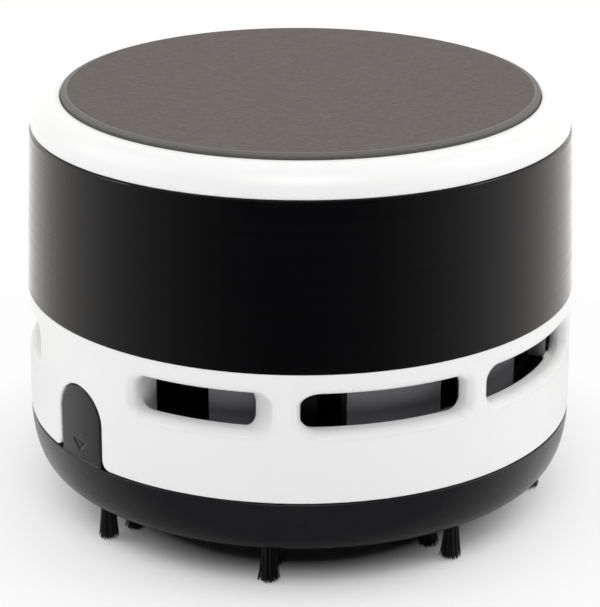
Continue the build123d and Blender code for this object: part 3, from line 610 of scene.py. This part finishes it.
TUFT_MARGIN = 0.05 * MM
TUFT_LOOSE = 1.15  # the tips may stray so much past the solid tuft
ROOT_STRAY, TIP_STRAY, BEND_STRAY, CUT_STRAY = 0.03 * MM, 0.07 * MM, 0.06 * MM, 0.06 * MM
TUFT_DOME = 0.25 * MM  # how much shorter the outermost bristles are
STRAND_TAPER = 0.25
GOLDEN_ANGLE = math.pi * (3 - math.sqrt(5))
FELT_RINGS, FELT_TURNS = 60, 180
FELT_FUZZ, FELT_SWELL = 0.05 * MM, 0.12 * MM
FELT_UNDER, FELT_OVER = 0.06 * MM, 0.18 * MM  # room for them inside the solid


class VACUUM_OT_white_shell(bpy.types.Operator):
    """Give the slotted shell its white moulded finish"""

    bl_idname = "vacuum.white_shell"
    bl_label = "White shell"

    def execute(self, context):
        finish = slotted_white(tuple(context.scene.vacuum_colours.white), SEAT_PAINTED_SHADE)
        dress("vent_shell", finish)
        return {"FINISHED"}


class VACUUM_OT_lid_ring(bpy.types.Operator):
    """Make the white ring of the lid, with its round shoulder, its seat for the pad and its spigot"""

    bl_idname = "vacuum.lid_ring"
    bl_label = "Lid ring"

    def execute(self, context):
        sizes = context.scene.vacuum_sizes
        rim, top, low = LID_HIGH.x, LID_HIGH.z, LID_LOW.z
        foot = low + LID_SPIGOT_H
        seat, plate = PAD_LOW.z, PAD_LOW.z - LID_PLATE_T
        recess = PAD_HIGH.x + PAD_CLEAR
        under = [
            (POLE_R, plate),
            (LID_SPIGOT_R - LID_SPIGOT_T, plate),
            (LID_SPIGOT_R - LID_SPIGOT_T, low),
            (LID_SPIGOT_R, low),
            (LID_SPIGOT_R, foot),
            (rim - LID_LIP_W, foot),
            (rim - LID_LIP_W * LID_LIP_FLAT, foot - sizes.lid_lip),
            (rim, foot - sizes.lid_lip),
            (rim, top - LID_SHOULDER_H),
        ]
        turn = np.linspace(0, np.pi / 2, LID_STEPS)
        way = np.stack([LID_SHOULDER_W * np.cos(turn), LID_SHOULDER_H * np.sin(turn)], axis=-1)
        shoulder = np.array([rim - LID_SHOULDER_W, top - LID_SHOULDER_H]) + way
        within = [shoulder[-1], (recess, top), (recess, seat), (POLE_R, seat)]
        outside = rounded(under, sizes.lid_edge)[:-1]
        rings = np.concatenate([outside, shoulder[:-1], rounded(within, sizes.lid_edge)])
        points, faces = turned(rings, AROUND)
        white = shade(context.scene.vacuum_colours.white, LID_PAINTED_LIGHT)
        finish = white_plastic("white_lid_moulding", white, depth=0.3)
        finish.feed("Base Color", grain_white(finish, white))
        ring = mesh_piece("lid_ring_moulding", points, faces, finish.material)
        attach(ring, "lid")
        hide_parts("lid_ring")
        return {"FINISHED"}


class VACUUM_OT_band(bpy.types.Operator):
    """Give the sleeve round the upper half its black brushed finish"""

    bl_idname = "vacuum.band"
    bl_label = "Band sleeve"

    def execute(self, context):
        dress("band_sleeve", brushed_band(tuple(context.scene.vacuum_colours.band)))
        return {"FINISHED"}


class VACUUM_OT_lid_pad(bpy.types.Operator):
    """Make the grained disc of the lid, with its bevelled and rounded edge"""

    bl_idname = "vacuum.lid_pad"
    bl_label = "Lid pad"

    def execute(self, context):
        sizes = context.scene.vacuum_sizes
        top, foot, radius = PAD_HIGH.z, PAD_LOW.z, PAD_HIGH.x
        crest = radius - sizes.pad_bevel_width
        reach = np.linspace(crest - PAD_FACE_IN, POLE_R, PAD_STEPS)
        corners = [
            (POLE_R, foot),
            (radius, foot),
            (radius, top - sizes.pad_bevel_rise),
            (crest, top),
            (reach[0], top),
        ]
        edge = rounded(corners, sizes.pad_edge * PAD_ROUNDS)
        face = np.stack([reach, np.full_like(reach, top)], axis=-1)
        points, faces = turned(np.concatenate([edge, face[1:]]), AROUND)
        colours = context.scene.vacuum_colours
        finish = grained_pad(tuple(colours.pad), tuple(colours.pad_rim), crest)
        pad = mesh_piece("lid_pad_disc", points, faces, finish)
        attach(pad, "lid")
        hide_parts("lid_pad")
        return {"FINISHED"}


class VACUUM_OT_base_tray(bpy.types.Operator):
    """Give the base tray its satin black finish"""

    bl_idname = "vacuum.base_tray"
    bl_label = "Base tray"

    def execute(self, context):
        dress("base_tray", base_black(context, "satin_black_moulding", 1.0))
        return {"FINISHED"}


def tongue_grid(rows, cols):
    """Points of a tab drawn flat, (across, height), and how far each is from the tab's edge.

    With u and v from -1 to 1: below the crown (w u, c + (c - f) v), a plain grid; above it, the half disc
    (w u sqrt(1 - v^2 / 2), c + w v sqrt(1 - u^2 / 2)). Rows and columns crowd towards the edge by a sine.
    """
    half = TAB_HIGH.y
    crown = TAB_HIGH.z - half
    u = np.sin(np.linspace(-1, 1, cols) * np.pi / 2)[None, :]
    v = np.sin(np.linspace(-1, 1, rows) * np.pi / 2)[:, None]
    across = half * u * np.where(v > 0, np.sqrt(1 - np.maximum(v, 0) ** 2 / 2), 1)
    height = np.where(v > 0, crown + half * v * np.sqrt(1 - u ** 2 / 2), crown + (crown - TAB_FOOT) * v)
    from_side = np.where(height > crown, half - np.hypot(across, height - crown), half - np.abs(across))
    from_foot = TAB_FOOT_ROUND * (height - TAB_FOOT)
    return np.stack([across, height], axis=-1), np.minimum(from_side, from_foot)


def segment_distance(points, start, end):
    """Distance of each point to a straight segment, start + t (end - start) with t from 0 to 1."""
    way = np.array(end) - np.array(start)
    share = np.clip(((points - start) @ way) / (way @ way), 0, 1)
    return np.linalg.norm(points - (np.array(start) + share[..., None] * way), axis=-1)


def tongue_depth(plan, inset, sizes):
    """How far the front of a tab lies inside its outer radius: sunk arrow, lip at the foot and rounded edge.

    At an inset i below the rounding e, the edge falls by e - sqrt(e^2 - (e - i)^2).
    """
    foot = TAB_FOOT + ARROW_RISE
    tips = ((-ARROW_W / 2, foot + ARROW_H), (ARROW_W / 2, foot + ARROW_H), (0, foot))
    near = np.minimum.reduce([segment_distance(plan, tips[i], tips[(i + 1) % 3]) for i in range(3)])
    sunk = sizes.arrow_depth * (1 - smooth_step(near, ARROW_FLOOR, ARROW_EDGE))
    lip = TAB_LIP * smooth_step(plan[..., 1], TAB_LIP_START, TAB_LIP_END)
    edge = sizes.tab_edge
    short = edge - np.clip(inset, 0, edge)
    return sunk + lip + edge - np.sqrt(np.maximum(edge ** 2 - short ** 2, 0))


class VACUUM_OT_push_tabs(bpy.types.Operator):
    """Make the two push tabs: curved tongues with rounded edges and a sunk outlined arrow"""

    bl_idname = "vacuum.push_tabs"
    bl_label = "Push tabs"

    def execute(self, context):
        plan, inset = tongue_grid(TAB_ROWS, TAB_COLS)
        depth = tongue_depth(plan, inset, context.scene.vacuum_sizes)
        turn, height = plan[..., 0] / TAB_HIGH.x, plan[..., 1]
        heel = TAB_HEEL * np.exp((TAB_FOOT - height) / MM)
        number = np.arange(height.size).reshape(height.shape)
        rim = np.concatenate([number[0, :-1], number[:-1, -1], number[-1, :0:-1], number[:0:-1, 0]])
        after = np.roll(rim, -1)
        back = height.size
        wall = np.stack([rim, rim + back, after + back, after], axis=-1)
        front = grid_faces(TAB_ROWS, TAB_COLS, False)
        faces = [front, front[:, ::-1] + back, wall]
        finish = base_black(context, "tab_satin_black", TAB_PAINTED_LIGHT)
        for body, side in (("tab_right", 1), ("tab_left", -1)):
            outer = about_axis(side * (TAB_HIGH.x - depth), turn, height)
            inner = about_axis(np.full_like(depth, side * (TAB_HIGH.x - TAB_THICK)), turn, height + heel)
            points = np.concatenate([outer.reshape(-1, 3), inner.reshape(-1, 3)])
            tab = mesh_piece(body + "_tongue", points, faces, finish)
            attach(tab, body)
            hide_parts("push_tab_" + body.split("_")[1])
        return {"FINISHED"}


class VACUUM_OT_brushes(bpy.types.Operator):
    """Make the tufts of the two brush rings, bristle by bristle"""

    bl_idname = "vacuum.brushes"
    bl_label = "Brush tufts"

    def execute(self, context):
        colours = context.scene.vacuum_colours
        finish = bristle_nylon(tuple(colours.bristle), tuple(colours.bristle_tip))
        for node in TUFT_RINGS:
            brush = tuft_ring(node + "_bristles", node, context.scene.vacuum_sizes, finish)
            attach(brush, "tray")
            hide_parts(node)
        return {"FINISHED"}


def tuft_ring(name, node, sizes, finish):
    """The tufts on a ring. A bristle is a tube on root + (tip - root) t^1.4 + 4 bend (t - t^2).

    Roots fill a disc by the golden angle; tips spread with the distance from the tuft's middle, with a little
    chance in each, and the outermost bristles lean furthest.
    """
    low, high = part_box(node)
    draw = np.random.default_rng(TUFT_SEEDS[node])
    strands = sizes.strands
    each = (TUFTS, strands, 1)
    ring_r = TUFT_RINGS[node]
    reach = (high.x - low.x) / 2 - ring_r - TUFT_MARGIN
    root_r = reach / (1 + sizes.splay)
    number = np.arange(strands)
    spot_r = root_r * np.sqrt((number + 0.5) / strands)
    spot_t = number * GOLDEN_ANGLE + draw.uniform(0, TAU, (TUFTS, 1))
    root = np.stack([spot_r * np.cos(spot_t), spot_r * np.sin(spot_t)], axis=-1)
    root += draw.normal(0, ROOT_STRAY, root.shape)
    outward = (spot_r / root_r)[None, :, None]
    lean = 1 + sizes.splay * outward ** 2 * draw.uniform(0.5, 1.15, each)
    tip = root * lean + draw.normal(0, TIP_STRAY, root.shape)
    far = np.linalg.norm(tip, axis=-1, keepdims=True)
    tip *= np.minimum(1, TUFT_LOOSE * reach / np.maximum(far, 1e-9))
    bend = draw.normal(0, BEND_STRAY, root.shape) * outward
    foot = np.abs(draw.normal(0, CUT_STRAY, each[:2])) + TUFT_DOME * outward[..., 0] ** 4
    step = np.linspace(0, 1, STRAND_RINGS)[None, None, :, None]
    line = root[:, :, None] + (tip - root)[:, :, None] * step ** 1.4
    line = line + bend[:, :, None] * (step - step ** 2) * 4
    height = TUFT_ROOT + (foot[:, :, None] - TUFT_ROOT) * step[..., 0]
    taper = 1 - STRAND_TAPER * step[..., 0] ** 3
    thick = sizes.strand_width / 2 * taper * draw.uniform(0.8, 1.1, each)
    corner = np.linspace(0, TAU, STRAND_SIDES, endpoint=False)
    tube = np.stack([np.cos(corner), np.sin(corner)], axis=-1) * thick[..., None, None]
    at = np.arange(TUFTS) * TAU / TUFTS + TUFT_TURN
    out = np.stack([np.cos(at), np.sin(at)], axis=-1)[:, None, None, None]
    plan = line[:, :, :, None] + tube + (ring_r + TUFT_LEANS[node] * step[..., None]) * out
    level = np.broadcast_to(height[..., None, None], (*plan.shape[:-1], 1))
    points = np.concatenate([plan, level], axis=-1)
    shift = (np.arange(TUFTS * strands) * STRAND_RINGS * STRAND_SIDES)[:, None, None]
    side = np.arange(STRAND_SIDES)[None, None]
    tubes = (grid_faces(STRAND_RINGS, STRAND_SIDES, True)[None, :, ::-1] + shift).reshape(-1, 4)
    ends = (side[..., ::-1] + (STRAND_RINGS - 1) * STRAND_SIDES + shift).reshape(-1, STRAND_SIDES)
    roots = (side + shift).reshape(-1, STRAND_SIDES)
    chance = np.broadcast_to(draw.uniform(0, 1, (*each, 1)), plan.shape[:-1])
    along = np.stack([chance, np.broadcast_to(step, chance.shape)], axis=-1).reshape(-1, 2)
    return mesh_piece(name, points.reshape(-1, 3), [tubes, ends, roots], finish, along)


def felt_disc(finish):
    """The felt of the filter: a thin disc with fuzz on both faces and a slight swell on the upper one.

    With s the share of the radius and t the turn, the fuzz is f sin(37 t + 61 s) sin(53 tau s) (1 - s^8) and
    the swell is w cos(3 t)^2 sin(pi s)^2.
    """
    turn = np.linspace(0, TAU, FELT_TURNS, endpoint=False)[None, :]
    share = np.linspace(0.02, 1, FELT_RINGS)[:, None]
    fuzz = FELT_FUZZ * np.sin(37 * turn + 61 * share) * np.sin(53 * share * TAU) * (1 - share ** 8)
    swell = FELT_SWELL * np.cos(3 * turn) ** 2 * np.sin(np.pi * share) ** 2
    reach = np.broadcast_to(FELT_HIGH.x * share, fuzz.shape)
    lower = np.stack([reach, FELT_LOW.z + FELT_UNDER + fuzz], axis=-1)
    upper = np.stack([reach, FELT_HIGH.z - FELT_OVER + swell + fuzz], axis=-1)[::-1]
    points, faces = turned(np.concatenate([lower, upper]), FELT_TURNS)
    return mesh_piece("filter_felt_disc", points, faces, finish)


class VACUUM_OT_fan(bpy.types.Operator):
    """Dress the fan housing, its screws and impeller, and make the felt of the filter"""

    bl_idname = "vacuum.fan"
    bl_label = "Fan and filter"

    def execute(self, context):
        housing = lined_housing(tuple(context.scene.vacuum_colours.housing), LINING_PAINTED_SHADE, POST_GREY)
        holder = moulding("filter_frame_black", FRAME_BLACK, roughness=0.45, specular=0.3)
        blades = moulding("impeller_black", FAN_BLACK, roughness=0.5, grain=0.5 * MM, specular=0.2)
        screws = plated("screw_plated", SCREW_METAL, roughness=0.3, stretch=(4, 4, 1))
        dress("fan_housing", housing)
        dress("filter_frame", holder)
        dress("impeller", blades)
        dress("housing_screws", screws)
        felt = felt_disc(pressed_felt(FELT_BLACK))
        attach(felt, "body")
        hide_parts("filter_pad")
        return {"FINISHED"}


class VACUUM_OT_power(bpy.types.Operator):
    """Dress the motor, the cells, their contacts and the chassis that carries them"""

    bl_idname = "vacuum.power"
    bl_label = "Motor and cells"

    def execute(self, context):
        dress("chassis", moulding("chassis_grey", CHASSIS_GREY, roughness=0.42))
        dress("motor_can", plated("motor_can_plated", CAN_METAL, roughness=0.28, stretch=(1, 1, 12)))
        dress("motor_shaft", plated("shaft_ground", SHAFT_METAL, roughness=0.18, stretch=(1, 1, 6)))
        dress("motor_cap", moulding("motor_cap_nylon", CAP_NYLON, roughness=0.5))
        contact = plated("contact_nickel", CONTACT_METAL, roughness=0.24, stretch=(8, 1, 1))
        for node in ("motor_terminals", "contact_bridge", "contact_leaves"):
            dress(node, contact)
        dress("battery_cells", cell_wrap(WRAP_BLUE, WRAP_RING, CELL_METAL))
        return {"FINISHED"}


class VACUUM_OT_switch(bpy.types.Operator):
    """Dress the slide switch at the rear"""

    bl_idname = "vacuum.switch"
    bl_label = "Slide switch"

    def execute(self, context):
        knob = moulding("switch_knob_grey", KNOB_GREY, roughness=0.4, grain=0.3 * MM, soften=0.3 * MM)
        dress("switch_body", moulding("switch_body_black", SWITCH_BLACK, roughness=0.45))
        dress("switch_knob", knob)
        return {"FINISHED"}


# Studio

CAMERA_BEARING, CAMERA_HEIGHT = -39.7, 20.8175  # degrees
CAMERA_DISTANCE = 0.35685
CAMERA_AIM = Vector((0, 0, 0.029603))
CAMERA_ROLL = 0.0029282
CAMERA_LENS, CAMERA_SENSOR = 133.88, 36  # millimetres, as Blender has them
CAMERA_CLIP = (0.01, 10)
FLOOR_R, FLOOR_LOW, FLOOR_TOP = 0.1, -1.2 * MM, -0.1 * MM
FLOOR_FADE = (0.305 * FLOOR_R, 0.69 * FLOOR_R)  # where the floor gives way to white light
FLOOR_OVAL = 1.09  # how much sooner it does so across the view
# The floor under the object is painted darker out to here: a painted shadow.
FLOOR_PAINTED_SHADOW = (28 * MM, 37 * MM)  # where the dark patch under the object ends
FLOOR_DIM, FLOOR_DIMMED = (8 * MM, 45 * MM), 0.92  # where reflections see it dim, towards the camera
FLOOR_LIGHT = (0.985, 1.45)  # the white light as it is seen, and as it fills
TENT_CURVE, TENT_LEVELS = 1.3, (0.045, 1.37)  # the tent in reflections, from the camera's side round
TENT_LEFT = ((0.2, 0.95), (1.0, 0.87))
TENT_ROOF = ((0.5, 0.85), (1.0, 0.45))
TENT_COLOUR = (1, 0.97, 0.94)
DOME_SKY = ((0.0, 0.7), (0.02, 0.72))  # the dome that gives light, by height
DOME_FRONT = ((0.2, 0.7), (1.0, 0.06))
DOME_GROUND = ((-0.02, 0.0), (1.35, 0.0))
SOFTBOX_DISTANCE = 0.6
SOFTBOXES = (  # bearing, height, width and power
    ("front_softbox", -39.7, 52, 0.32, 1.42),
    ("left_softbox", -134.7, 38, 0.4, 0.85),
    ("right_softbox", 55.3, 38, 0.4, 1.04),
)


class VACUUM_OT_studio(bpy.types.Operator):
    """Set up the camera, the pale floor, the soft lights and the white surroundings"""

    bl_idname = "vacuum.studio"
    bl_label = "Studio"

    def execute(self, context):
        scene = context.scene
        scene.view_settings.view_transform = "Standard"
        near = way_to(CAMERA_BEARING, 0)
        left = near.cross((0, 0, 1))
        place_camera(scene, way_to(CAMERA_BEARING, CAMERA_HEIGHT))
        lay_floor(tuple(scene.vacuum_colours.floor), near, left)
        light_world(scene, near, left)
        for softbox in SOFTBOXES:
            hang_light(scene, *softbox)
        return {"FINISHED"}


def way_to(bearing, height):
    """The direction on a bearing and a height above the floor, in degrees."""
    turn, rise = math.radians(bearing), math.radians(height)
    return Vector((math.sin(turn) * math.cos(rise), -math.cos(turn) * math.cos(rise), math.sin(rise)))


def place_camera(scene, towards):
    """A camera that looks at the aim from a direction, rolled by a hair."""
    lens = bpy.data.cameras.new("camera")
    lens.lens = CAMERA_LENS
    lens.sensor_width = CAMERA_SENSOR
    lens.clip_start, lens.clip_end = CAMERA_CLIP
    camera = bpy.data.objects.new("camera", lens)
    scene.collection.objects.link(camera)
    turn = (-towards).to_track_quat("-Z", "Y").to_matrix().to_4x4() @ Matrix.Rotation(CAMERA_ROLL, 4, "Z")
    camera.matrix_world = Matrix.Translation(CAMERA_AIM + towards * CAMERA_DISTANCE) @ turn
    scene.camera = camera


def lay_floor(colour, near, left):
    """A round pale floor that fades into white light; near and left are the camera's side and its left.

    A painted shadow darkens it under the object, and reflections see it dim on the camera's side.
    """
    made = Finish("studio_floor", colour, roughness=0.6, Specular_IOR_Level=0.2)
    seen = made.add("ShaderNodeLightPath").outputs
    side = made.measure("DOT_PRODUCT", made.place, near)
    across = made.number("MULTIPLY", made.measure("DOT_PRODUCT", made.place, left), FLOOR_OVAL)
    squares = made.number("ADD", made.number("POWER", side, 2.0), made.number("POWER", across, 2.0))
    fade = made.run(made.number("SQRT", squares), FLOOR_FADE)
    dim = made.number("MULTIPLY", made.run(side, FLOOR_DIM, (0.0, FLOOR_DIMMED)), seen["Is Glossy Ray"])
    plain = made.tones(made.noise(50 * MM), colour, 0.995, 1.005)
    # painted shadow: the floor is darkened under the object
    outside_painted_shadow = made.run(made.measure("LENGTH", made.place), FLOOR_PAINTED_SHADOW)
    plain = made.blend(outside_painted_shadow, shade(colour, 0.2), plain)
    made.feed("Base Color", made.blend(dim, plain, shade(colour, 0.02)))
    strength = made.run(seen["Is Diffuse Ray"], (0.0, 1.0), FLOOR_LIGHT)
    white = made.add("ShaderNodeEmission", {"Color": (1, 1, 1, 1), "Strength": strength}).outputs["Emission"]
    far = made.number("MULTIPLY", fade, made.run(seen["Is Glossy Ray"], (0.0, 1.0), (1.0, 0.0)))
    mix = made.add("ShaderNodeMixShader", {0: far, 1: made.shader.outputs["BSDF"], 2: white})
    made.tree.links.new(mix.outputs["Shader"], made.tree.nodes["Material Output"].inputs["Surface"])
    points, faces = turned(np.array([[FLOOR_R, FLOOR_LOW], [FLOOR_R, FLOOR_TOP]]), 160)
    mesh_piece("floor", points, faces, made.material)


def light_world(scene, near, left):
    """White for what the camera sees, a pale dome for light, and a tent for reflections."""
    world = bpy.data.worlds.new("surroundings")
    world.use_nodes = True
    scene.world = world
    made = Nodes(world.node_tree)
    seen = made.add("ShaderNodeLightPath").outputs
    way = made.add("ShaderNodeTexCoord").outputs["Generated"]
    up = made.parts(way)["Z"]
    side = made.measure("DOT_PRODUCT", way, near)
    turned_away = made.number("POWER", made.run(side, (0.93, -0.93)), TENT_CURVE)
    wall = made.run(turned_away, (0.0, 1.0), TENT_LEVELS)
    wall = made.number("MULTIPLY", wall, made.run(made.measure("DOT_PRODUCT", way, left), *TENT_LEFT))
    tent = made.number("MULTIPLY", wall, made.run(up, *TENT_ROOF))
    sky = made.number("MULTIPLY", made.run(up, *DOME_SKY), made.run(side, *DOME_FRONT))
    dome = made.number("MAXIMUM", sky, made.run(up, *DOME_GROUND))
    mirrored = made.number_between(seen["Is Glossy Ray"], dome, tent)
    back = made.tree.nodes["Background"]
    colour = made.blend(seen["Is Glossy Ray"], (1, 1, 1), TENT_COLOUR)
    made.tree.links.new(colour, back.inputs["Color"])
    strength = made.number_between(seen["Is Camera Ray"], mirrored, 1.0)
    made.tree.links.new(strength, back.inputs["Strength"])


def hang_light(scene, name, bearing, height, width, power):
    """A square soft light on a bearing and height above the floor, in degrees, that faces the object."""
    lamp = bpy.data.lights.new(name, "AREA")
    lamp.shape = "SQUARE"
    lamp.size = width
    lamp.energy = power
    light = bpy.data.objects.new(name, lamp)
    away = way_to(bearing, height)
    light.location = away * SOFTBOX_DISTANCE + CAMERA_AIM
    light.rotation_euler = away.to_track_quat("Z", "Y").to_euler()
    scene.collection.objects.link(light)


# Sidebar

STEPS = (
    VACUUM_OT_white_shell,
    VACUUM_OT_lid_ring,
    VACUUM_OT_band,
    VACUUM_OT_lid_pad,
    VACUUM_OT_base_tray,
    VACUUM_OT_push_tabs,
    VACUUM_OT_brushes,
    VACUUM_OT_fan,
    VACUUM_OT_power,
    VACUUM_OT_switch,
    VACUUM_OT_studio,
)


class VACUUM_PT_pieces(bpy.types.Panel):
    """Lists the pieces of the desk vacuum and the values they are made from"""

    bl_idname = "VACUUM_PT_pieces"
    bl_label = "Desk vacuum"
    bl_space_type = "VIEW_3D"
    bl_region_type = "UI"
    bl_category = "Desk vacuum"

    def draw(self, context):
        column = self.layout.column()
        for group in (context.scene.vacuum_colours, context.scene.vacuum_sizes):
            for key in group.bl_rna.properties.keys():
                if key not in ("rna_type", "name"):
                    column.prop(group, key)
        for step in STEPS:
            column.operator(step.bl_idname)


CLASSES = (VacuumColours, VacuumSizes, *STEPS, VACUUM_PT_pieces)


def register():
    """Make the classes and the scene's values known to Blender."""
    for each in CLASSES:
        bpy.utils.register_class(each)
    bpy.types.Scene.vacuum_colours = bpy.props.PointerProperty(type=VacuumColours)
    bpy.types.Scene.vacuum_sizes = bpy.props.PointerProperty(type=VacuumSizes)


def unregister():
    """Take them away again."""
    del bpy.types.Scene.vacuum_sizes
    del bpy.types.Scene.vacuum_colours
    for each in reversed(CLASSES):
        bpy.utils.unregister_class(each)


def main():
    register()
    for step in STEPS:
        getattr(bpy.ops.vacuum, step.bl_idname.split(".")[1])()


if __name__ == "__main__":
    main()
